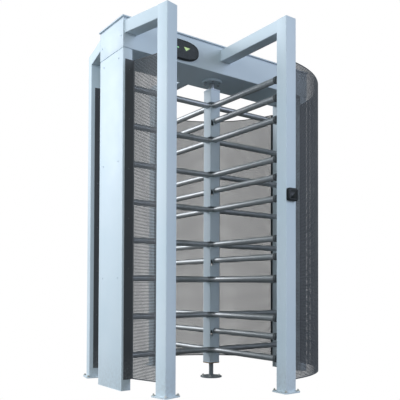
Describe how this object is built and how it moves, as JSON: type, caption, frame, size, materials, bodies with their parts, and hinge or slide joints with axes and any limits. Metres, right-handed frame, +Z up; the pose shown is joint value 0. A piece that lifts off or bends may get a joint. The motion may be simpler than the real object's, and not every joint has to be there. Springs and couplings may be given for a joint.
{
  "type": "full height turnstile",
  "caption": "Full height turnstile: a rotor with wings of steel bars under a box header, closed in by perforated sheets and square posts, with an indexing lock.",
  "frame": {"origin": "on the floor, at the middle of the rotor's foot, under the rotor's axis", "axes": "+Z up along the rotor's axis, X along the header with the passage at -X, the front with the reader and the indicator at -Y"},
  "size_m": [1.556, 1.5623, 2.208],
  "materials": {
    "frame_paint": "satin light blue-grey powder coat",
    "lid_paint": "satin light blue-grey powder coat",
    "sheet_steel": "satin dark grey coat on perforated sheet",
    "bar_steel": "galvanised tube, rubbed smooth",
    "machined_steel": "turned and milled",
    "zinc_steel": "zinc plated",
    "bronze": "turned",
    "black_plastic": "satin moulded"
  },
  "bodies": {
    "frame": {"header_channel": "frame_paint", "header_left_end": "frame_paint", "header_right_end": "frame_paint", "left_column": "frame_paint", "right_column": "frame_paint", "front_left_post": "frame_paint", "back_left_post": "frame_paint", "front_center_post": "frame_paint", "back_center_post": "frame_paint", "front_left_beam": "frame_paint", "back_left_beam": "frame_paint", "front_center_beam": "frame_paint", "back_center_beam": "frame_paint", "header_lid": "lid_paint", "left_front_sheet": "sheet_steel", "left_back_sheet": "sheet_steel", "right_front_sheet": "sheet_steel", "right_back_sheet": "sheet_steel", "foot_flange": "machined_steel", "top_bearing_housing": "machined_steel", "top_bearing": "machined_steel", "mechanism_plate": "zinc_steel", "entry_solenoid": "zinc_steel", "exit_solenoid": "zinc_steel", "thrust_washer": "bronze", "control_box": "black_plastic", "indicator_panel": "black_plastic", "card_reader": "black_plastic"},
    "rotor": {"rotor_column": "frame_paint", "foot_bush": "bronze", "top_shaft": "machined_steel", "index_disc": "zinc_steel", "disc_lock_nut": "zinc_steel", "front_arm_1": "bar_steel", "front_arm_2": "bar_steel", "front_arm_3": "bar_steel", "front_arm_4": "bar_steel", "front_arm_5": "bar_steel", "front_arm_6": "bar_steel", "front_arm_7": "bar_steel", "front_arm_8": "bar_steel", "back_arm_1": "bar_steel", "back_arm_2": "bar_steel", "back_arm_3": "bar_steel", "back_arm_4": "bar_steel", "back_arm_5": "bar_steel", "back_arm_6": "bar_steel", "back_arm_7": "bar_steel", "back_arm_8": "bar_steel", "mid_bar_1": "bar_steel", "mid_bar_2": "bar_steel", "mid_bar_3": "bar_steel", "mid_bar_4": "bar_steel"},
    "entry_pawl": {"entry_pawl": "machined_steel"},
    "exit_pawl": {"exit_pawl": "machined_steel"},
    "centering_lever": {"centering_lever": "zinc_steel"},
    "centering_roller": {"centering_roller": "bronze"}
  },
  "joints": [
    {"name": "rotor_spin", "type": "hinge", "parent": "frame", "child": "rotor", "pos_m": [0, 0, 0], "axis": [0, 0, 1], "continuous": true},
    {"name": "entry_pawl_pivot", "type": "hinge", "parent": "frame", "child": "entry_pawl", "pos_m": [-0.112, -0.08, 2.085], "axis": [0, 0, 1], "range_deg": [-14, 0], "stiffness_Nm_per_rad": 0.4},
    {"name": "exit_pawl_pivot", "type": "hinge", "parent": "frame", "child": "exit_pawl", "pos_m": [0.112, -0.08, 2.085], "axis": [0, 0, 1], "range_deg": [0, 14], "stiffness_Nm_per_rad": 0.4},
    {"name": "centering_pivot", "type": "hinge", "parent": "frame", "child": "centering_lever", "pos_m": [0.03111, 0.11597, 2.095], "axis": [0, 0, 1], "range_deg": [-11.05, 2], "stiffness_Nm_per_rad": 12},
    {"name": "centering_roller_spin", "type": "hinge", "parent": "centering_lever", "child": "centering_roller", "pos_m": [0.08088, 0.08246, 2.085], "axis": [0, 0, 1], "continuous": true}
  ]
}
